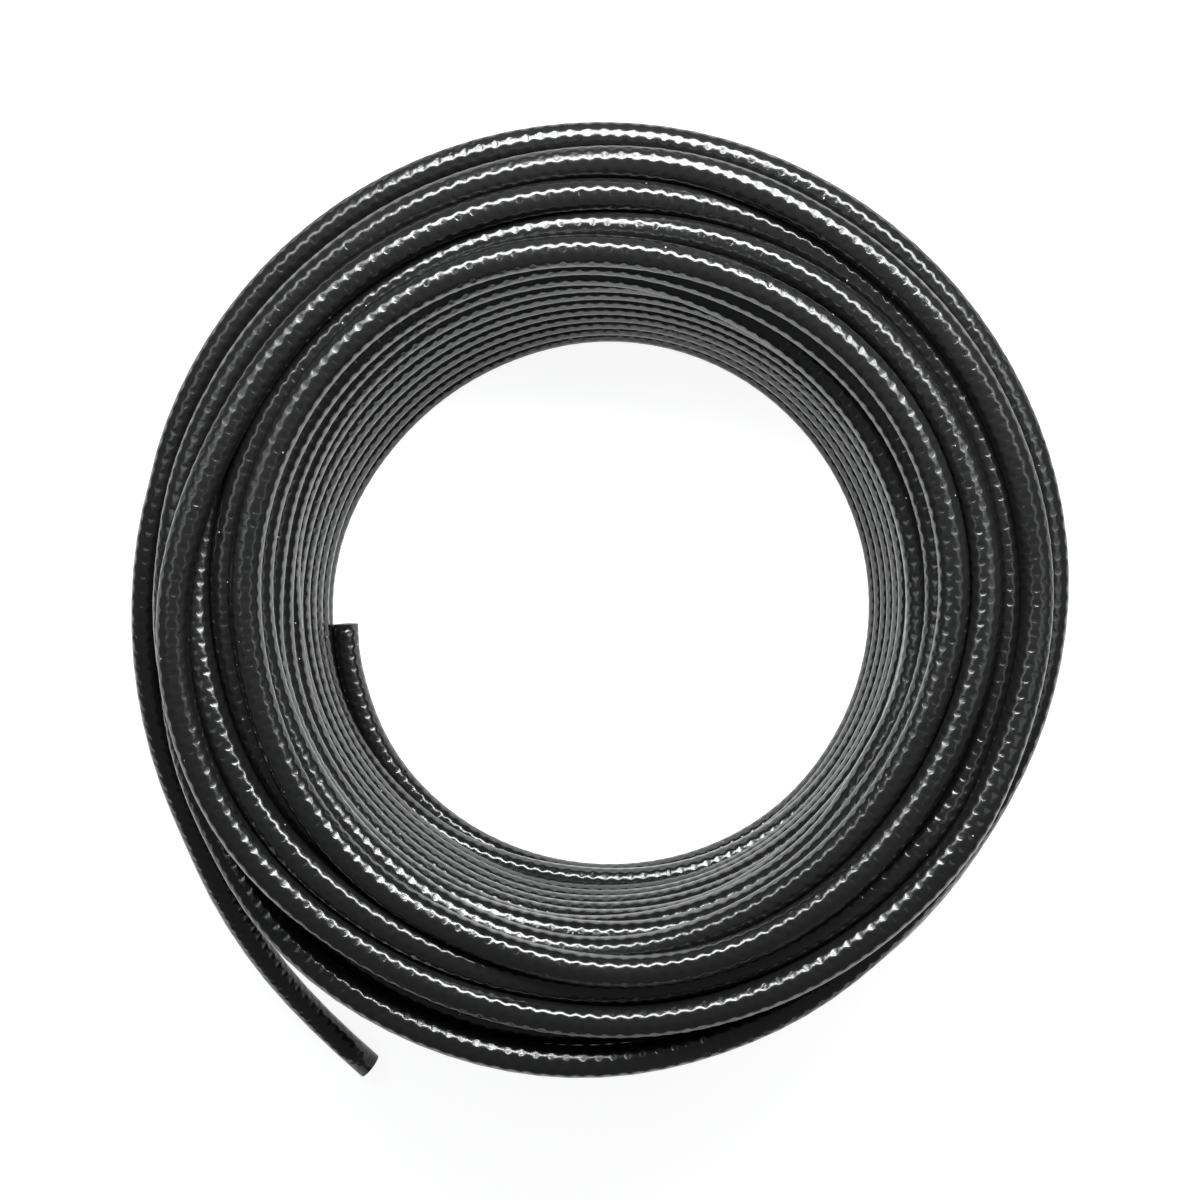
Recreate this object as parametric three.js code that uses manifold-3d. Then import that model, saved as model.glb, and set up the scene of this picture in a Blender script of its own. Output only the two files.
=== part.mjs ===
// Coil of braided fuel hose, lying flat on its end.
// Millimetres, +Z up. The origin is on the floor, under the middle of the coil and its free end.
// The routes below are measured from the axis of the coil.
import * as THREE from "three";
import { mergeVertices } from "three/addons/utils/BufferGeometryUtils.js";
import Module from "manifold-3d";

// The hose
const hoseDiameter = 12;
const hoseBore = 6;

// The winding: turns stand on each other in a layer, and each layer nests in the last
const coilBore = 263;
const layers = 5;
const rowsPerLayer = 11;
const layerPitch = 10.7;

// Clearance between the wound turns and the free ends that leave them
const seatGap = 0.3;

// Facets
const coilSegments = 40;
const turnCorners = 8;
const hoseSides = 12;
const outerEndSteps = 13;
const innerEndSteps = 8;

// Route of the outer free end: it leaves the outer layer and comes down to the floor.
// Each point is an angle round the coil in degrees, how far it stands out from that layer, and its height.
const outerEndRoute = [
  [165, 3.4, 99.5],
  [180, 6.8, 93],
  [189.9, 11.1, 86.5],
  [199.8, 17, 78],
  [209.7, 25.1, 66],
  [219.7, 36.6, 49.5],
  [229.8, 50.8, 29],
  [239.5, 66.1, 9.8],
  [243.2, 71.3, 6.1],
];

// Route of the inner free end: it lies on the floor inside the bore and joins the first turn.
// Each point is an angle, how far it stands out from the innermost layer, and its height.
const innerEndRoute = [
  [262, -4.5, 6.1],
  [250, -5.3, 6.1],
  [235, -6.3, 6.1],
  [220, -7.6, 6.1],
  [210, -9.1, 6.1],
  [200, -11, 6.1],
  [192.6, -11.9, 6.1],
  [187, -13, 6.1],
];

const turnRadius = hoseDiameter / 2;
const cornerRadius = turnRadius / Math.cos(Math.PI / turnCorners);
const innerRadius = coilBore / 2;
const outerRadius = innerRadius + hoseDiameter + (layers - 1) * layerPitch;
const coilHeight = rowsPerLayer * hoseDiameter;

const wasm = await Module();
wasm.setup();

const coverRubber = new THREE.MeshStandardMaterial({ color: 0x161716, roughness: 0.34, metalness: 0 });

// From the axis of the coil to the centre of the hose in one layer
function layerRadius(layer) {
  return innerRadius + turnRadius + layer * layerPitch;
}

// The turns of one layer, from the floor up, as centres in the half plane of the section.
// Every second layer sits half a turn higher and has one turn fewer.
function layerTurns(layer) {
  const nested = layer % 2;
  const r = layerRadius(layer);
  return Array.from({ length: rowsPerLayer - nested }, (_, row) => (
    { r, z: turnRadius * (1 + nested) + row * hoseDiameter }
  ));
}

// The turns that show, in order round the section: outside, top, bore and bottom.
function outlineTurns() {
  const all = Array.from({ length: layers }, (_, layer) => layerTurns(layer));
  const between = all.slice(1, -1);
  return [
    ...all.at(-1),
    ...between.map((turns) => turns.at(-1)).reverse(),
    ...all[0].toReversed(),
    ...between.map((turns) => turns[0]),
  ];
}

// Turns of one layer meet on a flat, so the valley between them stops at that flat's corner.
// Turns of two layers nest, so the valley goes down to the point where they touch.
function valley(turn, next) {
  const along = new THREE.Vector2(next.r - turn.r, next.z - turn.z).normalize();
  const rise = turn.r === next.r ? turnRadius * Math.tan(Math.PI / turnCorners) : 0;
  return new THREE.Vector2(
    (turn.r + next.r) / 2 + along.y * rise,
    (turn.z + next.z) / 2 - along.x * rise,
  );
}

// The corners of one turn that lie outside, between the valleys to its two neighbours.
function crest(previous, turn, next) {
  const step = (2 * Math.PI) / turnCorners;
  const valleyShare = Math.PI / 6;
  const start = Math.atan2(previous.z - turn.z, previous.r - turn.r);
  let end = Math.atan2(next.z - turn.z, next.r - turn.r);
  while (end <= start) end += 2 * Math.PI;
  const points = [];
  for (let corner = -turnCorners; corner < 2 * turnCorners; corner += 1) {
    const angle = (corner + 0.5) * step;
    if (angle > start + valleyShare && angle < end - valleyShare) {
      points.push(new THREE.Vector2(
        turn.r + cornerRadius * Math.cos(angle),
        turn.z + cornerRadius * Math.sin(angle),
      ));
    }
  }
  return points;
}

function turned(profile) {
  return new THREE.LatheGeometry([...profile, profile[0].clone()], coilSegments).rotateX(Math.PI / 2);
}

// The wound turns: one turned solid whose turns show on its ends, its outside and its bore
function coil() {
  const turns = outlineTurns();
  const profile = turns.flatMap((turn, index) => {
    const previous = turns.at(index - 1);
    const next = turns[(index + 1) % turns.length];
    return [...crest(previous, turn, next), valley(turn, next)];
  });
  return turned(profile);
}

// The space that the wound turns take, with the clearance all round
function coilSpace() {
  const low = -seatGap;
  const high = coilHeight + seatGap;
  const inside = innerRadius - seatGap;
  const outside = outerRadius + seatGap;
  return turned([
    new THREE.Vector2(outside, low),
    new THREE.Vector2(outside, high),
    new THREE.Vector2(inside, high),
    new THREE.Vector2(inside, low),
  ]);
}

function ring(diameter) {
  return Array.from({ length: hoseSides }, (_, side) => {
    const angle = (side * 2 * Math.PI) / hoseSides;
    return new THREE.Vector2(Math.cos(angle), Math.sin(angle)).multiplyScalar(diameter / 2);
  });
}

// A stretch of hose along a route beside one layer, with its bore open at both cut faces
function hose(route, layer, steps) {
  const section = new THREE.Shape(ring(hoseDiameter));
  section.holes.push(new THREE.Path(ring(hoseBore)));
  const extrudePath = new THREE.CatmullRomCurve3(route.map(([degrees, offset, z]) => {
    const angle = THREE.MathUtils.degToRad(degrees);
    const r = layerRadius(layer) + offset;
    return new THREE.Vector3(r * Math.cos(angle), r * Math.sin(angle), z);
  }));
  return new THREE.ExtrudeGeometry(section, { steps, extrudePath, bevelEnabled: false });
}

function solid(geometry) {
  const bare = geometry.clone();
  bare.deleteAttribute("normal");
  bare.deleteAttribute("uv");
  const merged = mergeVertices(bare, 1e-4);
  return new wasm.Manifold(new wasm.Mesh({
    numProp: 3,
    vertProperties: new Float32Array(merged.attributes.position.array),
    triVerts: new Uint32Array(merged.index.array),
  }));
}

function geometryOf(manifold) {
  const mesh = manifold.getMesh();
  const geometry = new THREE.BufferGeometry();
  geometry.setAttribute("position", new THREE.BufferAttribute(mesh.vertProperties, 3));
  geometry.setIndex(new THREE.BufferAttribute(mesh.triVerts, 1));
  geometry.computeVertexNormals();
  return geometry;
}

// A free end, trimmed where it comes out from among the wound turns
function freeEnd(route, layer, steps) {
  return geometryOf(solid(hose(route, layer, steps)).subtract(solid(coilSpace())));
}

function part(name, geometry) {
  const mesh = new THREE.Mesh(geometry, coverRubber.clone());
  mesh.name = name;
  return mesh;
}

const group = new THREE.Group();
group.add(part("hose_coil", coil()));
group.add(part("hose_outer_end", freeEnd(outerEndRoute, layers - 1, outerEndSteps)));
group.add(part("hose_inner_end", freeEnd(innerEndRoute, 0, innerEndSteps)));

const extent = new THREE.Box3().setFromObject(group);
const middle = extent.getCenter(new THREE.Vector3());
group.position.set(-middle.x, -middle.y, -extent.min.z);

export default group;
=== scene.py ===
# %% [markdown]
# Coil of braided fuel hose.
# The real object is one piece of hose, about fifty metres of it, wound into a flat coil that lies on its end.
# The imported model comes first, because it fixes the place and the size of everything here.
# All lengths in Blender are metres, and the winding is worked out in millimetres from the coil's axis.

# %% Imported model
import math
import bpy
import numpy as np
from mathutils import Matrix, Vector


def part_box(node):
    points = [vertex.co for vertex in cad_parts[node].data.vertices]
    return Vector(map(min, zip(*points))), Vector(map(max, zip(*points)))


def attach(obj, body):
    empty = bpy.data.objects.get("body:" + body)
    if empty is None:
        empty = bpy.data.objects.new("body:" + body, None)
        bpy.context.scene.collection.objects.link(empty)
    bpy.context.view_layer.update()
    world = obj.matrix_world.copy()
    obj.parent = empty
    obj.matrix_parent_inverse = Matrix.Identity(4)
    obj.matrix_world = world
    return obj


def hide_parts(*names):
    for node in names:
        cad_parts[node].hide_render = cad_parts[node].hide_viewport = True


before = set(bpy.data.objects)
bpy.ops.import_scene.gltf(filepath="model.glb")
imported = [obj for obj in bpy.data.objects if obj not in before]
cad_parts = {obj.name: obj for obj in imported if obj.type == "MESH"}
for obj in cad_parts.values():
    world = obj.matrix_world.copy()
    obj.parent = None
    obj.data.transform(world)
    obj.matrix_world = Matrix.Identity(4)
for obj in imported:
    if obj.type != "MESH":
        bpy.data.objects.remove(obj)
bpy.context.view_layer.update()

coil_low, coil_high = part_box("hose_coil")
axis_x = (coil_low[0] + coil_high[0]) / 2
axis_y = (coil_low[1] + coil_high[1]) / 2
print("coil axis", round(axis_x, 5), round(axis_y, 5))

# %% [markdown]
# The camera looks straight down on the coil, from not far above it.
# That short distance is why the inner wall of the coil shows all round, and why the turns on top look wider.
# It could be set by eye, but the bore's top and bottom edges give the height and the lens.

# %% Camera
PICTURE_WIDTH = 1200
FOCAL_PIXELS = 1187
AXIS_PIXEL = (601, 601)
CAMERA_HEIGHT = 0.582
TOP_TURN_HEIGHT = 0.126
SENSOR_WIDTH = 36

camera_data = bpy.data.cameras.new("camera")
camera_data.sensor_width = SENSOR_WIDTH
camera_data.lens = SENSOR_WIDTH * FOCAL_PIXELS / PICTURE_WIDTH
camera_data.clip_start = 0.01
camera = bpy.data.objects.new("camera", camera_data)
pixel_size = (CAMERA_HEIGHT - TOP_TURN_HEIGHT) / FOCAL_PIXELS
camera.location = (
    axis_x - (AXIS_PIXEL[0] - PICTURE_WIDTH / 2) * pixel_size,
    axis_y + (AXIS_PIXEL[1] - PICTURE_WIDTH / 2) * pixel_size,
    CAMERA_HEIGHT,
)
bpy.context.scene.collection.objects.link(camera)
bpy.context.scene.camera = camera
print("lens", round(camera_data.lens, 2))

# %% [markdown]
# A coil is wound layer by layer. The first layer climbs from the floor, the next one comes down in its grooves,
# and so on outwards, so a hose that starts on the floor inside the bore ends on the outside of the fifth layer.
# One long curve could be drawn by hand, but fifty turns are better counted: a point is placed every few degrees,
# and its turn number says which layer and which row it lies in.

# %% Turns
HOSE = 12.0
ROWS_UP = 10
FLOOR_ROW = HOSE / 2
TOP_ROW = ROWS_UP * HOSE
POINTS_PER_TURN = 96
STEP = 360 / POINTS_PER_TURN
FIRST_ANGLE = 185.2
LAST_TURN = 18000
LAST_ANGLE = LAST_TURN + 243.6
LAYER_PITCH = 10.7

index = np.arange(math.ceil(FIRST_ANGLE / STEP), math.floor(LAST_ANGLE / STEP) + 1)
wound = index * STEP
angle = wound % 360
print("points", len(index), "turns", round((LAST_ANGLE - FIRST_ANGLE) / 360, 2))


def through(points, where):
    """A smooth curve through points given as {place: value}, without overshoot."""
    places = np.array(list(points), float)
    values = np.array(list(points.values()), float)
    widths = np.diff(places)
    slopes = np.diff(values) / widths
    bends = np.empty_like(values)
    bends[0], bends[-1] = slopes[0], slopes[-1]
    product = slopes[1:] * slopes[:-1]
    total = slopes[1:] + slopes[:-1]
    total = np.where(product > 0, total, 1)
    bends[1:-1] = np.where(product > 0, 2 * product / total, 0)
    i = np.clip(np.searchsorted(places, where) - 1, 0, len(widths) - 1)
    t = np.clip((where - places[i]) / widths[i], 0, 1)
    return (
        (2 * t**3 - 3 * t**2 + 1) * values[i]
        + (t**3 - 2 * t**2 + t) * widths[i] * bends[i]
        + (-2 * t**3 + 3 * t**2) * values[i + 1]
        + (t**3 - t**2) * widths[i] * bends[i + 1]
    )


def eased(start, end, where):
    """From 0 at the start to 1 at the end, with no jerk at either."""
    t = np.clip((where - start) / (end - start), 0, 1)
    return t * t * (3 - 2 * t)


# %% [markdown]
# Each layer passes from row to row in one sector of the coil, where the hose steps up or down by its diameter.
# The rest of the turn lies level. These sectors are the places where the turns in the photograph slant.
# Angles count on from turn to turn, so 360 is one turn, and each sector is given as where it starts and ends.

# %% Rows and layers
FIRST_LAYER_TURN = 367.8
FIFTH_LAYER_START = 15300
FIFTH_LIFT = {0: 14, 90: 8, 175: 0, 190: 0, 252: 18, 300: 17, 360: 14}
FIFTH_LIFT_TURNS = 7


def rows_passed(start, end, rows, turn=360):
    """How many rows the hose has passed, when it passes the first between two angles and then one in each turn."""
    return sum(eased(start + turn * row, end + turn * row, wound) for row in range(rows))


fifth_turn = (wound - FIFTH_LAYER_START) / 360
fifth_lift = through(FIFTH_LIFT, angle) * fifth_turn / FIFTH_LIFT_TURNS
height = FLOOR_ROW + HOSE * rows_passed(551, 619, 10, FIRST_LAYER_TURN)
layer = np.zeros(len(index))
for (start, end), next_layer in (
    ((4230, 4320), TOP_ROW - HOSE * rows_passed(4545, 4610, 9)),
    ((7790, 7860), FLOOR_ROW + HOSE * rows_passed(8065, 8120, 10)),
    ((11665, 11720), TOP_ROW - HOSE * rows_passed(12030, 12085, 9)),
    ((15270, 15330), FLOOR_ROW + HOSE * fifth_turn + fifth_lift),
):
    passed = eased(start, end, wound)
    height = height + passed * (next_layer - height)
    layer = layer + passed

# The first layer lies a little out of round, as {angle: distance from the axis}
TOP_OF_WALL = {0: 135.5, 30: 137.5, 72: 134.3, 110: 137.5, 140: 139.5, 180: 137, 195: 135.5, 250: 135.3,
               270: 136, 320: 131.8, 360: 135.5}
FOOT_OF_WALL = {0: 137.2, 30: 134.7, 60: 133.8, 90: 132.3, 112: 129.3, 140: 129.8, 170: 136, 185: 137.7,
                300: 137.7, 360: 137.2}
up_the_wall = np.clip((height - FLOOR_ROW) / (ROWS_UP * HOSE), 0, 1)
wall = through(FOOT_OF_WALL, angle) * (1 - up_the_wall) + through(TOP_OF_WALL, angle) * up_the_wall
radius = wall + LAYER_PITCH * layer
print("highest nominal row", round(float(height.max()), 1))

# %% [markdown]
# The turns on top of the coil are the ones that people see, and they are less regular: they slip half into the
# groove beside them, cross over a neighbour or sink under it. Their places are read from the photograph, each as
# {angle: distance from the axis} and {angle: height}, in the order in which the hose was wound.

# %% Top turns
TOP_TURNS = {
    "first layer, last but one": (
        3600,
        {210: 133.9, 225: 134.7, 240: 135.9, 255: 136.7, 270: 137.2, 280: 136.6, 290: 134.8, 300: 133.6,
         325: 132.3, 340: 132.9, 350: 134.6},
        {190: 114, 225: 115, 255: 117, 280: 120, 300: 122.5, 330: 125, 350: 126, 360: 126},
    ),
    "first layer, last": (
        3960,
        {0: 135.8, 30: 136.8, 60: 134.4, 75: 133.4, 90: 134.3, 110: 136.9, 135: 139.1, 150: 138.7, 165: 137.5,
         195: 135.8, 210: 137.4, 225: 138, 240: 137.8, 260: 138.6, 270: 140, 285: 141.2, 320: 141.5, 345: 144.5,
         360: 148.1},
        {0: 126, 245: 126, 260: 128, 285: 131, 305: 131, 330: 129, 345: 127, 360: 125},
    ),
    "second layer, first": (
        4320,
        {0: 148.3, 20: 149.6, 30: 150.2, 50: 150, 60: 149, 75: 147.7, 90: 147.3, 120: 147.6, 150: 148.7,
         165: 149.2, 180: 148, 195: 146.9, 225: 148.5},
        {0: 125, 20: 123, 50: 120, 75: 118, 120: 117.5, 180: 118, 225: 115, 290: 108},
    ),
    "third layer, coming up": (
        11160,
        {168: 157, 180: 156.9, 195: 155.5, 210: 154.5, 220: 152, 230: 149.5, 250: 148, 260: 149.1, 270: 151,
         285: 153.2, 320: 153.9, 335: 155.2, 350: 157.5, 360: 159},
        {150: 108, 168: 112, 180: 118, 195: 121, 230: 124, 260: 123.5, 285: 121, 320: 120, 350: 116.5, 360: 116},
    ),
    "third layer, crossing out": (
        11520,
        {0: 158.6, 20: 159.2, 45: 159.4, 60: 159.3, 75: 158.6, 85: 157.3, 95: 156.2, 110: 155.4, 150: 156, 160: 157,
         170: 159.6, 180: 163.4, 195: 164.1, 210: 164.7, 225: 162.7, 240: 160.1, 255: 159.5, 270: 160.4,
         285: 161.8, 320: 162.9, 335: 163.9, 350: 166.2, 360: 168.4},
        {0: 115, 30: 114.5, 60: 114.5, 75: 117.5, 85: 122, 95: 126, 150: 127, 160: 128.5, 175: 130.5,
         195: 129.5, 225: 127, 255: 126.5, 285: 128.5, 305: 128.5, 335: 126.5, 360: 124},
    ),
    "fourth layer, sinking": (
        11880,
        {0: 168.6, 40: 168, 60: 167.6, 90: 167.8, 110: 167.2, 130: 167.1, 150: 167.3, 165: 169.2, 180: 170.5,
         200: 171.5, 245: 173.3, 260: 172.5, 280: 169.3, 300: 168},
        {0: 124, 20: 125, 40: 126, 90: 126, 110: 125, 130: 123.5, 150: 119, 165: 114.5, 180: 110, 200: 108,
         250: 110, 300: 108},
    ),
    "fifth layer, last but two": (
        17280,
        {225: 186, 240: 188.3, 255: 188.8, 270: 186.5, 280: 184.5, 290: 181.8, 300: 179.6, 320: 176.8, 340: 178.4},
        {225: 96, 240: 98.5, 255: 100, 300: 100, 340: 100},
    ),
    "fifth layer, last but one": (
        17640,
        {208: 181, 220: 180.7, 240: 180.8, 250: 181.3, 260: 181.1, 270: 180, 280: 178, 290: 175.4, 300: 173.2,
         320: 169.8, 330: 170, 340: 173, 360: 178.9},
        {215: 103, 228: 112, 240: 118, 270: 119, 285: 117, 300: 113, 360: 112},
    ),
    "fifth layer, last": (
        LAST_TURN,
        {0: 178.9, 30: 180.7, 60: 181.8, 90: 183.2, 150: 183.2, 160: 183.6},
        {0: 112, 60: 114, 100: 112.5, 130: 110, 150: 106, 165: 99.5, 180: 93},
    ),
}
# How firmly a turn keeps to its planned place while the turns settle
PULL_SEEN = 0.3
PULL_INNER_LAYER, PULL_OUTER_LAYER, PULL_HIDDEN = 0.10, 0.06, 0.02
PULL_UP = 0.03
pull_out = np.where(layer < 0.5, PULL_INNER_LAYER, np.where(layer > 3.5, PULL_OUTER_LAYER, PULL_HIDDEN))
pull_up = np.full(len(index), PULL_UP)
for start, distances, heights in TOP_TURNS.values():
    here = wound - start
    seen = (here >= min(distances)) & (here <= max(distances))
    radius[seen] = through(distances, here[seen])
    pull_out[seen] = PULL_SEEN
    seen = (here >= min(heights)) & (here < max(heights))
    height[seen] = through(heights, here[seen])
    pull_up[seen] = PULL_SEEN
print("top turns", len(TOP_TURNS))

# %% [markdown]
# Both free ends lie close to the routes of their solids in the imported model: one lies on the floor inside the bore,
# and the other leaves the outside, comes down and ends on the floor. The first starts 4 mm further than its solid,
# and the second lies up to 6 mm lower and flatter, as in the photograph.
# Each point is {angle: (distance from the axis, height)}.

# %% Free ends
INNER_END = {185.2: (124.2, 6.1), 187: (124.5, 6.1), 192.6: (125.6, 6.1), 200: (126.5, 6.1), 210: (128.4, 6.1),
             220: (129.9, 6.1), 235: (131.2, 6.1), 250: (132.2, 6.1), 262: (133, 6.1), 300: (136.2, 6.1)}
OUTER_END = {165: (183.7, 99.5), 180: (187.5, 92), 189.9: (191.6, 84.5), 199.8: (197.2, 74.5),
             209.7: (204.9, 61), 219.7: (217.7, 43.5), 229.8: (232.9, 23), 236: (242.4, 11.2),
             239.5: (247.1, 7.2), 243.6: (251.9, 6.1)}


def along_end(end, turns, where):
    """Distances and heights on a free end whose own angles start after some turns, given in degrees."""
    out = through({turns + a: place[0] for a, place in end.items()}, where)
    up = through({turns + a: place[1] for a, place in end.items()}, where)
    return out, up


inner_part = wound <= max(INNER_END)
outer_part = wound >= LAST_TURN + min(OUTER_END)
radius[inner_part], height[inner_part] = along_end(INNER_END, 0, wound[inner_part])
radius[outer_part], height[outer_part] = along_end(OUTER_END, LAST_TURN, wound[outer_part])
held = inner_part | outer_part
print("points held", int(held.sum()))

# %% [markdown]
# So far some turns cut into each other. On the real coil they push each other aside until they lie side by side.
# A cloth or rigid body simulation of fifty metres of hose would be slow, so this step does what contact does:
# in every half plane round the axis, two turns nearer than a diameter move apart, the floor stops the lowest,
# and the hose's stiffness evens out each bend. All of it is plain arithmetic, so it gives the same coil each time.

# %% Settling the turns
TURNS = index[-1] // POINTS_PER_TURN + 1
# In the last passes the turns are pulled less and bent less, so that contact has the last word
PASSES = 700
FREE_PASSES = 220
EASE_DROP, FREE_EASE = 0.7, 0.08
STIFFNESS, FREE_STIFFNESS = 0.35, 0.15
CONTACT = HOSE + 0.02
PUSH = 0.45
# Points of the first and last turns that hold no hose are parked far off, each turn clear of the next
PARKED_AT, PARKED_APART = 1e4, 50.0
parked = PARKED_AT + PARKED_APART * (np.arange(TURNS * POINTS_PER_TURN) // POINTS_PER_TURN)
one, other = np.triu_indices(TURNS, 1)
aim_out, aim_up = radius.copy(), height.copy()

for number in range(PASSES):
    free = number >= PASSES - FREE_PASSES
    ease = FREE_EASE if free else 1 - EASE_DROP * number / (PASSES - FREE_PASSES)
    stiffness = FREE_STIFFNESS if free else STIFFNESS
    radius += ease * pull_out * (aim_out - radius)
    height += ease * pull_up * (aim_up - height)
    for line in (radius, height):
        line[1:-1] += stiffness * ((line[2:] + line[:-2]) / 2 - line[1:-1])
    radius[held], height[held] = aim_out[held], aim_up[held]
    out_grid, up_grid = parked.copy(), np.zeros(len(parked))
    out_grid[index], up_grid[index] = radius, height
    out_grid = out_grid.reshape(TURNS, POINTS_PER_TURN)
    up_grid = up_grid.reshape(TURNS, POINTS_PER_TURN)
    across = out_grid[one] - out_grid[other]
    above = up_grid[one] - up_grid[other]
    squared = across * across + above * above
    pair, sector = np.nonzero(squared < CONTACT**2)
    apart = np.sqrt(squared[pair, sector]) + 1e-9
    share = PUSH * (CONTACT - apart) / apart
    move_out = np.zeros((TURNS, POINTS_PER_TURN))
    move_up = np.zeros((TURNS, POINTS_PER_TURN))
    for turn, sign in ((one[pair], 1), (other[pair], -1)):
        np.add.at(move_out, (turn, sector), sign * share * across[pair, sector])
        np.add.at(move_up, (turn, sector), sign * share * above[pair, sector])
    radius += move_out.reshape(-1)[index]
    height += move_up.reshape(-1)[index]
    height = np.maximum(height, FLOOR_ROW)
    radius[held], height[held] = aim_out[held], aim_up[held]
print("deepest contact left, mm", round(float(HOSE - apart.min()), 2), "highest", round(float(height.max()), 1))

# %% [markdown]
# The centreline in metres, with its two exact ends added. Turns that lie buried in the coil never show,
# so they keep every second point only, and the triangles go where they are seen.

# %% Centreline
BURIED = ((4700, 11200), (12200, 15300))
MM = 0.001
ends_out, ends_up = zip(along_end(INNER_END, 0, FIRST_ANGLE), along_end(OUTER_END, LAST_TURN, LAST_ANGLE))
all_wound = np.concatenate([[FIRST_ANGLE], wound, [LAST_ANGLE]])
all_out = np.concatenate([[ends_out[0]], radius, [ends_out[1]]])
all_up = np.concatenate([[ends_up[0]], height, [ends_up[1]]])
buried = sum((all_wound > start) & (all_wound < end) for start, end in BURIED)
keep = ~((buried > 0) & (np.arange(len(all_wound)) % 2 == 1))
turn_angle = np.radians(all_wound[keep])
centres = np.stack([
    axis_x + MM * all_out[keep] * np.cos(turn_angle),
    axis_y + MM * all_out[keep] * np.sin(turn_angle),
    MM * all_up[keep],
], axis=1)
steps = np.linalg.norm(np.diff(centres, axis=0), axis=1)
run = np.concatenate([[0], np.cumsum(steps)])
print("rings", len(centres), "length in metres", round(float(run[-1]), 2))

# %% [markdown]
# A hose could be a curve with a round bevel, but then its bore, its cut ends and the pattern along it are hard to
# place. So rings of points are set square to the centreline and joined by faces, like sweeping a section by hand.
# Each cut end turns in over the thickness of the wall and runs a short way down the bore before it closes.
# The knife went through at a slight slant: the foot of the inner end and the top of the outer end reach further.

# %% Hose mesh
SIDES = 24
INNER_SLANT = 0.05
OUTER_SLANT = 0.1
# From the skin to the end of the bore, each (distance from the centre of the hose, distance out of the cut face)
WALL_PROFILE = ((5.75, -0.08), (5.45, 0), (4.75, 0.02), (4.6, -0.1), (4.25, -0.1), (4.1, 0.02), (3.3, 0),
                (3.05, -0.12), (3, -0.5), (3, -12), (3, -30))
forward = np.gradient(centres, axis=0)
forward /= np.linalg.norm(forward, axis=1)[:, None]
outward = centres - np.array([axis_x, axis_y, 0])
outward[:, 2] = 0
outward -= (outward * forward).sum(axis=1)[:, None] * forward
outward /= np.linalg.norm(outward, axis=1)[:, None]
upward = np.cross(outward, forward)
upward *= np.sign(upward[:, 2:3])
turn_round = 2 * np.pi * np.arange(SIDES) / SIDES


def ring_at(number, ring_radius, shift):
    """Points of one ring, in metres, moved along the hose by shift."""
    sideways = np.cos(turn_round)[:, None] * outward[number] + np.sin(turn_round)[:, None] * upward[number]
    return centres[number] + shift * forward[number] + ring_radius * sideways


start_rings = [ring_at(0, MM * r, -MM * d) for r, d in reversed(WALL_PROFILE)]
skin_rings = [ring_at(i, MM * HOSE / 2, 0) for i in range(len(centres))]
end_rings = [ring_at(-1, MM * r, MM * d) for r, d in WALL_PROFILE]
for cut_rings, end, slant in (
    (start_rings + skin_rings[:1], 0, INNER_SLANT),
    (end_rings + skin_rings[-1:], -1, OUTER_SLANT),
):
    for ring in cut_rings:
        ring += slant * ((ring - centres[end]) @ upward[end])[:, None] * forward[end]
rings = start_rings + skin_rings + end_rings
vertices = np.concatenate(rings)
print("rings in all", len(rings), "triangles", 2 * SIDES * (len(rings) - 1))

# %% [markdown]
# Four points of two neighbouring rings make a face. The order of its corners says which side is its front, and here
# it is the order that turns the front outwards. Two flat caps close the bore, deep inside each end.

# %% Faces between the rings
first = np.arange(len(rings) - 1)[:, None] * SIDES + np.arange(SIDES)[None, :]
after = np.roll(first, -1, axis=1)
quads = np.stack([first + SIDES, after + SIDES, after, first], axis=2).reshape(-1, 4)
first_cap = list(range(SIDES))
last_cap = list(reversed(range(len(vertices) - SIDES, len(vertices))))
mesh = bpy.data.meshes.new("fuel_hose")
mesh.from_pydata(vertices.tolist(), [], [*quads.tolist(), first_cap, last_cap])
mesh.validate()
hose = bpy.data.objects.new("fuel_hose", mesh)
bpy.context.scene.collection.objects.link(hose)
print("faces", len(mesh.polygons))

# %% [markdown]
# The braid pattern follows the hose, so it needs coordinates that run along it and round it.
# A UV map holds them: along in metres from the inner cut end, and round from 0 to 1.
# The corners of each face are listed in the same order as above.
# A second map packs the same skin into straight strips, so that it can be baked without a seam in each face.

# %% Coordinates along and round the hose
ring_run = np.concatenate([
    [-MM * d for r, d in reversed(WALL_PROFILE)], run, [run[-1] + MM * d for r, d in WALL_PROFILE],
])
ring_count = len(rings)
side_face = np.arange((ring_count - 1) * SIDES)
face_ring, face_side = side_face // SIDES, side_face % SIDES
corners = np.array([[1, 0], [1, 1], [0, 1], [0, 0]])
corner_ring = face_ring[:, None] + corners[None, :, 0]
corner_side = face_side[:, None] + corners[None, :, 1]
along = ring_run[corner_ring]
around = corner_side / SIDES

STRIPS = 38
END_MARGIN = 0.002
SIDE_MARGIN = 0.05
strip_rings = math.ceil((ring_count - 1) / STRIPS)
strip = face_ring // strip_rings
strip_start = ring_run[strip * strip_rings]
strip_end = ring_run[np.minimum((strip + 1) * strip_rings, ring_count - 1)]
longest = (strip_end - strip_start).max()
packed_u = END_MARGIN + (1 - 2 * END_MARGIN) * (along - strip_start[:, None]) / longest
packed_v = (strip[:, None] + SIDE_MARGIN + (1 - 2 * SIDE_MARGIN) * around) / STRIPS

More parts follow.
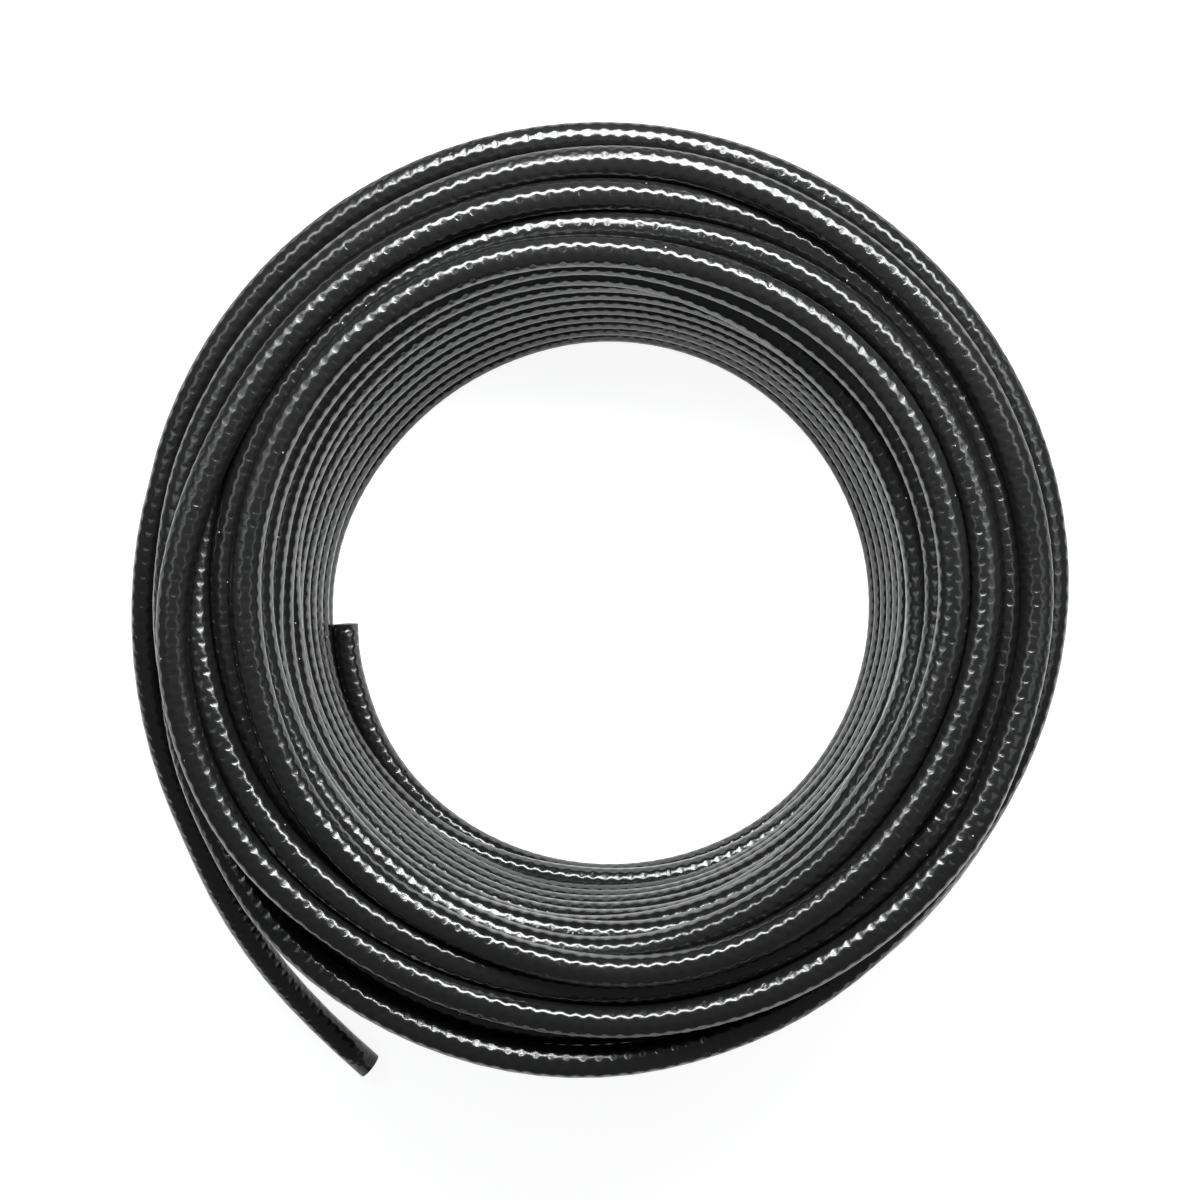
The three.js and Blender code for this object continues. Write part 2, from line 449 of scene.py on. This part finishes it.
for name, u, v in (("hose_run", along, around), ("OFBake", packed_u, packed_v)):
    layer_uv = mesh.uv_layers.new(name=name)
    values = np.zeros((len(mesh.loops), 2))
    values[:side_face.size * 4, 0] = u.reshape(-1)
    values[:side_face.size * 4, 1] = v.reshape(-1)
    layer_uv.data.foreach_set("uv", values.reshape(-1))
mesh.uv_layers.active = mesh.uv_layers["hose_run"]
mesh.polygons.foreach_set("use_smooth", [True] * len(mesh.polygons))
print("strips", STRIPS, "of metres", round(float(longest), 3))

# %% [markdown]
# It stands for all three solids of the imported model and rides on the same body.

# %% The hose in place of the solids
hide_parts("hose_coil", "hose_outer_end", "hose_inner_end")
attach(hose, "root")
print("cord from", centres[0].round(4), "to", centres[-1].round(4))

# %% [markdown]
# Under the thin cover lies a braid of yarn. Two families of yarns wind round the hose in opposite directions, and
# the cover sinks a little into each diamond between them. That is all the pattern there is: rows of shallow
# dimples, each row half a step on from the next. As geometry it would take millions of faces, so it is a height.
# The group works on the coordinates along and round the hose, so that the pattern bends with it.

# %% Shader group: braid under the cover


def add_group(name, inputs, outputs):
    group = bpy.data.node_groups.new(name, "ShaderNodeTree")
    for socket, kind, value in inputs:
        made = group.interface.new_socket(name=socket, in_out="INPUT", socket_type=kind)
        if value is not None:
            made.default_value = value
    for socket, kind in outputs:
        group.interface.new_socket(name=socket, in_out="OUTPUT", socket_type=kind)
    source = group.nodes.new("NodeGroupInput")
    target = group.nodes.new("NodeGroupOutput")
    return group, source, target


def math_node(tree, operation, first_input, second_input=None, third_input=None):
    node = tree.nodes.new("ShaderNodeMath")
    node.operation = operation
    for slot_number, value in enumerate((first_input, second_input, third_input)):
        if value is None:
            continue
        if isinstance(value, (int, float)):
            node.inputs[slot_number].default_value = value
        else:
            tree.links.new(value, node.inputs[slot_number])
    return node.outputs[0]


BRAID_PITCH = 0.006
BRAID_ROWS = 6.0
BRAID_TWIST = 0.3
PIT_EDGES = (0.30, 0.62)

braid, given, result = add_group(
    "braid under the cover",
    [("Along and round", "NodeSocketVector", None), ("Unevenness", "NodeSocketFloat", 0.5),
     ("Pitch", "NodeSocketFloat", BRAID_PITCH), ("Rows", "NodeSocketFloat", BRAID_ROWS),
     ("Twist per metre", "NodeSocketFloat", BRAID_TWIST)],
    [("Dimple", "NodeSocketFloat"), ("Pit", "NodeSocketFloat"), ("Yarn", "NodeSocketFloat")],
)
split = braid.nodes.new("ShaderNodeSeparateXYZ")
braid.links.new(given.outputs["Along and round"], split.inputs[0])
steps_along = math_node(braid, "DIVIDE", split.outputs[0], given.outputs["Pitch"])
steps_along = math_node(braid, "MULTIPLY_ADD", given.outputs["Unevenness"], 0.5, steps_along)
twisted = math_node(braid, "MULTIPLY_ADD", split.outputs[0], given.outputs["Twist per metre"], split.outputs[1])
rows_round = math_node(braid, "MULTIPLY", twisted, given.outputs["Rows"])
waves = []
for sign in ("ADD", "SUBTRACT"):
    phase = math_node(braid, sign, steps_along, rows_round)
    wave = math_node(braid, "COSINE", math_node(braid, "MULTIPLY", phase, math.pi))
    waves.append(math_node(braid, "MULTIPLY", wave, wave))
dimple = math_node(braid, "MULTIPLY", waves[0], waves[1])
# The Yarn mask marks the raised yarn lines; it only sets the colour, for the painted shade in the dimples between
# them
yarns = [math_node(braid, "SUBTRACT", 1, wave) for wave in waves]
yarn = math_node(braid, "MAXIMUM", yarns[0], yarns[1])
pit = braid.nodes.new("ShaderNodeMapRange")
pit.interpolation_type = "SMOOTHSTEP"
braid.links.new(dimple, pit.inputs["Value"])
pit.inputs["From Min"].default_value, pit.inputs["From Max"].default_value = PIT_EDGES
braid.links.new(pit.outputs["Result"], result.inputs["Pit"])
braid.links.new(dimple, result.inputs["Dimple"])
braid.links.new(yarn, result.inputs["Yarn"])
print("group", braid.name, len(braid.nodes), "nodes")

# %% [markdown]
# A handled cover is never evenly glossy. A second group gives the fine skin of the extruded cover, the slow change
# of gloss where it was handled, and the few specks of dust and lint that sit on it. The cut faces use it as well.
# The sizes are in metres, and a speck's radius is a share of the spacing.

# %% Shader group: skin and dust
HANDLING_SIZE = 0.045
SPECK_SPACING = 0.009
SPECK_RADIUS = 0.035

skin, given, result = add_group(
    "skin and dust",
    [("Position", "NodeSocketVector", None), ("Grain size", "NodeSocketFloat", 0.0009),
     ("Dust amount", "NodeSocketFloat", 0.5)],
    [("Grain", "NodeSocketFloat"), ("Handling", "NodeSocketFloat"), ("Dust", "NodeSocketFloat")],
)


def noise(tree, position, size, detail=2.0):
    node = tree.nodes.new("ShaderNodeTexNoise")
    tree.links.new(position, node.inputs["Vector"])
    node.inputs["Detail"].default_value = detail
    if isinstance(size, (int, float)):
        node.inputs["Scale"].default_value = 1 / size
    else:
        tree.links.new(math_node(tree, "DIVIDE", 1, size), node.inputs["Scale"])
    return node.outputs["Fac"]


place = given.outputs["Position"]
grain = noise(skin, place, given.outputs["Grain size"], 3.0)
handling = noise(skin, place, HANDLING_SIZE, 3.0)
specks = skin.nodes.new("ShaderNodeTexVoronoi")
skin.links.new(place, specks.inputs["Vector"])
specks.inputs["Scale"].default_value = 1 / SPECK_SPACING
near = math_node(skin, "LESS_THAN", specks.outputs["Distance"], SPECK_RADIUS)
chance = skin.nodes.new("ShaderNodeSeparateColor")
skin.links.new(specks.outputs["Color"], chance.inputs[0])
lucky = math_node(skin, "LESS_THAN", chance.outputs[0], given.outputs["Dust amount"])
skin.links.new(grain, result.inputs["Grain"])
skin.links.new(handling, result.inputs["Handling"])
skin.links.new(math_node(skin, "MULTIPLY", near, lucky), result.inputs["Dust"])
print("group", skin.name, len(skin.nodes), "nodes")

# %% [markdown]
# The cover is black, soft and glossy. Its colour is almost nothing, so all that shows is reflection:
# a sharp line along each turn, broken by the dimples. The Principled shader with a low roughness does that.

# %% Cover material
# Sockets of the Mix node when it mixes colours
MIX_FACTOR, MIX_FIRST, MIX_SECOND, MIX_RESULT = 0, 6, 7, 2


def group_in(tree, group):
    node = tree.nodes.new("ShaderNodeGroup")
    node.node_tree = group
    return node


def blend(tree, factor, first_colour, second_colour):
    node = tree.nodes.new("ShaderNodeMix")
    node.data_type = "RGBA"
    for socket, value in ((MIX_FACTOR, factor), (MIX_FIRST, first_colour), (MIX_SECOND, second_colour)):
        if isinstance(value, (int, float, tuple)):
            node.inputs[socket].default_value = value
        else:
            tree.links.new(value, node.inputs[socket])
    return node.outputs[MIX_RESULT]


# Painted shade: the first black is the cover in its sunken dimples and the second the cover on the raised yarn lines,
# so the dimples are painted darker
BLACK_IN_DIMPLE_SHADE = (0.0045, 0.0046, 0.0045, 1)
BLACK_LIT_ON_YARN = (0.0075, 0.0076, 0.0072, 1)
BLACK_HANDLED = (0.0075, 0.0073, 0.0068, 1)
DUST = (0.42, 0.42, 0.40, 1)
UNEVENNESS_SIZE = 0.010
GLOSS_ROUGHNESS, HANDLING_ROUGHNESS, GRAIN_ROUGHNESS, DUST_ROUGHNESS = 0.08, 0.14, 0.05, 0.5

cover = bpy.data.materials.new("hose_cover")
cover.use_nodes = True
tree = cover.node_tree
shader = tree.nodes["Principled BSDF"]
shader.inputs["Specular IOR Level"].default_value = 0.5
run_map = tree.nodes.new("ShaderNodeUVMap")
run_map.uv_map = "hose_run"
position = tree.nodes.new("ShaderNodeTexCoord").outputs["Object"]
pattern = group_in(tree, braid)
tree.links.new(run_map.outputs[0], pattern.inputs["Along and round"])
tree.links.new(noise(tree, position, UNEVENNESS_SIZE, 1.0), pattern.inputs["Unevenness"])
surface = group_in(tree, skin)
tree.links.new(position, surface.inputs["Position"])
surface.inputs["Grain size"].default_value = 0.0014
surface.inputs["Dust amount"].default_value = 0.5

# Painted shade on the relief: the base colour goes darker in the dimples and lighter on the yarn lines
black = blend(tree, pattern.outputs["Yarn"], BLACK_IN_DIMPLE_SHADE, BLACK_LIT_ON_YARN)
black = blend(tree, surface.outputs["Handling"], black, BLACK_HANDLED)
dusted = blend(tree, surface.outputs["Dust"], black, DUST)
tree.links.new(dusted, shader.inputs["Base Color"])
gloss = math_node(tree, "MULTIPLY_ADD", surface.outputs["Handling"], HANDLING_ROUGHNESS, GLOSS_ROUGHNESS)
gloss = math_node(tree, "MULTIPLY_ADD", surface.outputs["Grain"], GRAIN_ROUGHNESS, gloss)
gloss = math_node(tree, "MULTIPLY_ADD", surface.outputs["Dust"], DUST_ROUGHNESS, gloss)
tree.links.new(gloss, shader.inputs["Roughness"])
print("roughness from", GLOSS_ROUGHNESS)

# %% [markdown]
# The relief adds up heights in metres: dimples about a sixth of a millimetre deep, whose depth changes along the
# hose, a fine grain, and a slow waviness a quarter of a millimetre high.

# %% Relief of the cover
DIMPLE_HEIGHT = -0.00016
PIT_HEIGHT = -0.00003
GRAIN_HEIGHT = 0.00008
WAVE_HEIGHT = 0.00025
DUST_HEIGHT = 0.0001
WAVE_SIZE = 0.012
DEPTH_SIZE, DEPTH_RANGE, DEPTH_LEAST = 0.007, 1.4, 0.3

waviness = noise(tree, position, WAVE_SIZE, 1.0)
depth = math_node(tree, "MULTIPLY_ADD", noise(tree, position, DEPTH_SIZE, 1.0), DEPTH_RANGE, DEPTH_LEAST)
relief = math_node(tree, "MULTIPLY", pattern.outputs["Dimple"], DIMPLE_HEIGHT)
relief = math_node(tree, "MULTIPLY_ADD", pattern.outputs["Pit"], PIT_HEIGHT, relief)
relief = math_node(tree, "MULTIPLY", relief, depth)
relief = math_node(tree, "MULTIPLY_ADD", surface.outputs["Grain"], GRAIN_HEIGHT, relief)
relief = math_node(tree, "MULTIPLY_ADD", waviness, WAVE_HEIGHT, relief)
relief = math_node(tree, "MULTIPLY_ADD", surface.outputs["Dust"], DUST_HEIGHT, relief)
bump = tree.nodes.new("ShaderNodeBump")
bump.inputs["Distance"].default_value = 1.0
bump.inputs["Strength"].default_value = 1.0
tree.links.new(relief, bump.inputs["Height"])
tree.links.new(bump.outputs[0], shader.inputs["Normal"])
print("cover nodes", len(tree.nodes))

# %% [markdown]
# Each cut end shows the wall: the black cover, a thin ring of yarn ends, and the liner with the bore inside it.
# A knife leaves these faces duller than the skin, so they have their own materials with more grain.

# %% Cut end materials
CUT_GRAIN_SIZE = 0.0004
CUT_GRAIN_HEIGHT = 0.00006
CUT_HANDLING_ROUGHNESS = 0.2


def cut_material(name, dark, light, roughness):
    material = bpy.data.materials.new(name)
    material.use_nodes = True
    nodes = material.node_tree
    wall_shader = nodes.nodes["Principled BSDF"]
    spot = nodes.nodes.new("ShaderNodeTexCoord").outputs["Object"]
    wall_surface = group_in(nodes, skin)
    nodes.links.new(spot, wall_surface.inputs["Position"])
    wall_surface.inputs["Grain size"].default_value = CUT_GRAIN_SIZE
    wall_surface.inputs["Dust amount"].default_value = 0.2
    nodes.links.new(blend(nodes, wall_surface.outputs["Grain"], dark, light), wall_shader.inputs["Base Color"])
    nodes.links.new(
        math_node(nodes, "MULTIPLY_ADD", wall_surface.outputs["Handling"], CUT_HANDLING_ROUGHNESS, roughness),
        wall_shader.inputs["Roughness"],
    )
    wall_bump = nodes.nodes.new("ShaderNodeBump")
    wall_bump.inputs["Distance"].default_value = 1.0
    nodes.links.new(
        math_node(nodes, "MULTIPLY", wall_surface.outputs["Grain"], CUT_GRAIN_HEIGHT), wall_bump.inputs["Height"],
    )
    nodes.links.new(wall_bump.outputs[0], wall_shader.inputs["Normal"])
    return material


cut_rubber = cut_material("cut_rubber", (0.008, 0.008, 0.008, 1), (0.02, 0.02, 0.0195, 1), 0.4)
yarn_ends = cut_material("yarn_ends", (0.04, 0.04, 0.038, 1), (0.14, 0.137, 0.13, 1), 0.7)
bore_liner = cut_material("bore_liner", (0.008, 0.008, 0.008, 1), (0.018, 0.018, 0.018, 1), 0.3)
for material in (cover, cut_rubber, yarn_ends, bore_liner):
    mesh.materials.append(material)
zone = np.zeros(len(mesh.polygons), int)
from_end = np.minimum(face_ring, ring_count - 2 - face_ring)
RUBBER, YARN, LINER = 1, 2, 3
end_zones = [LINER] * 3 + [RUBBER] * 2 + [YARN] * 3 + [RUBBER] * 3
for number, kind in enumerate(end_zones):
    zone[:side_face.size][from_end == number] = kind
zone[side_face.size:] = LINER
mesh.polygons.foreach_set("material_index", zone)
mesh.update()
print("faces by material", np.bincount(zone).tolist())

# %% [markdown]
# The floor is a plain pale sheet that glows a little, so that it comes out nearly white all over.
# It also lights the hose from below: the thin pale edges of the turns are its reflection.

# %% Floor
FLOOR_SIZE = 6
FLOOR_GREY = 0.55
FLOOR_GLOW = 0.86
bpy.ops.object.select_all(action="DESELECT")
bpy.ops.mesh.primitive_plane_add(size=FLOOR_SIZE, location=(axis_x, axis_y, 0))
floor = bpy.context.object
floor.name = "floor"
paper = bpy.data.materials.new("paper")
paper.use_nodes = True
sheet_shader = paper.node_tree.nodes["Principled BSDF"]
sheet_shader.inputs["Base Color"].default_value = (FLOOR_GREY, FLOOR_GREY, FLOOR_GREY, 1)
sheet_shader.inputs["Roughness"].default_value = 0.9
sheet_shader.inputs["Specular IOR Level"].default_value = 0.1
sheet_shader.inputs["Emission Color"].default_value = (1, 1, 1, 1)
sheet_shader.inputs["Emission Strength"].default_value = FLOOR_GLOW
floor.data.materials.append(paper)
print("floor", floor.dimensions[:])

# %% [markdown]
# Where the bright line lies across a turn tells where its light stands. On the far turns it lies on top, and on the
# near turns it lies on the side that faces the axis: so one lamp stands close above the far edge of the coil, just
# outside the picture, and it bends round the coil a little. It is built from short soft panels on an arc.
# The rest of the room is dim, which keeps the black cover black between the lines.

# %% Lights
LAMP_DISTANCE = 0.29
LAMP_HEIGHT = 0.42
LAMP_PANEL = (0.10, 0.15)
COIL_TOP = 0.12
COOL_WHITE = (0.95, 0.98, 1)
ROOM_LIGHT = 0.2
# Each panel is {angle round the coil: watts}
LAMP_PANELS = {-10: 0.05, 10: 0.06, 30: 0.2, 50: 1, 70: 1.6, 90: 1.6, 110: 1.3, 130: 0.4, 150: 0.12, 170: 0.08}


def soft_panel(direction, power):
    """A soft panel above the edge of the coil, at an angle round it, facing the middle of the coil."""
    data = bpy.data.lights.new("lamp_panel", "AREA")
    data.shape = "RECTANGLE"
    data.size, data.size_y = LAMP_PANEL
    data.energy = power
    data.color = COOL_WHITE
    light = bpy.data.objects.new("lamp_panel", data)
    light.visible_camera = False
    swing = math.radians(direction)
    lean = math.atan2(LAMP_DISTANCE, LAMP_HEIGHT - COIL_TOP)
    light.rotation_euler = (-lean, 0, swing - math.pi / 2)
    light.location = (
        axis_x + LAMP_DISTANCE * math.cos(swing), axis_y + LAMP_DISTANCE * math.sin(swing), LAMP_HEIGHT,
    )
    bpy.context.scene.collection.objects.link(light)
    return light


panels = [soft_panel(direction, power) for direction, power in LAMP_PANELS.items()]
world = bpy.data.worlds.new("room")
world.use_nodes = True
background = world.node_tree.nodes["Background"]
background.inputs["Color"].default_value = (*COOL_WHITE, 1)
background.inputs["Strength"].default_value = ROOM_LIGHT
bpy.context.scene.world = world
bpy.context.scene.view_settings.view_transform = "Standard"
print("lamp panels", len(panels))
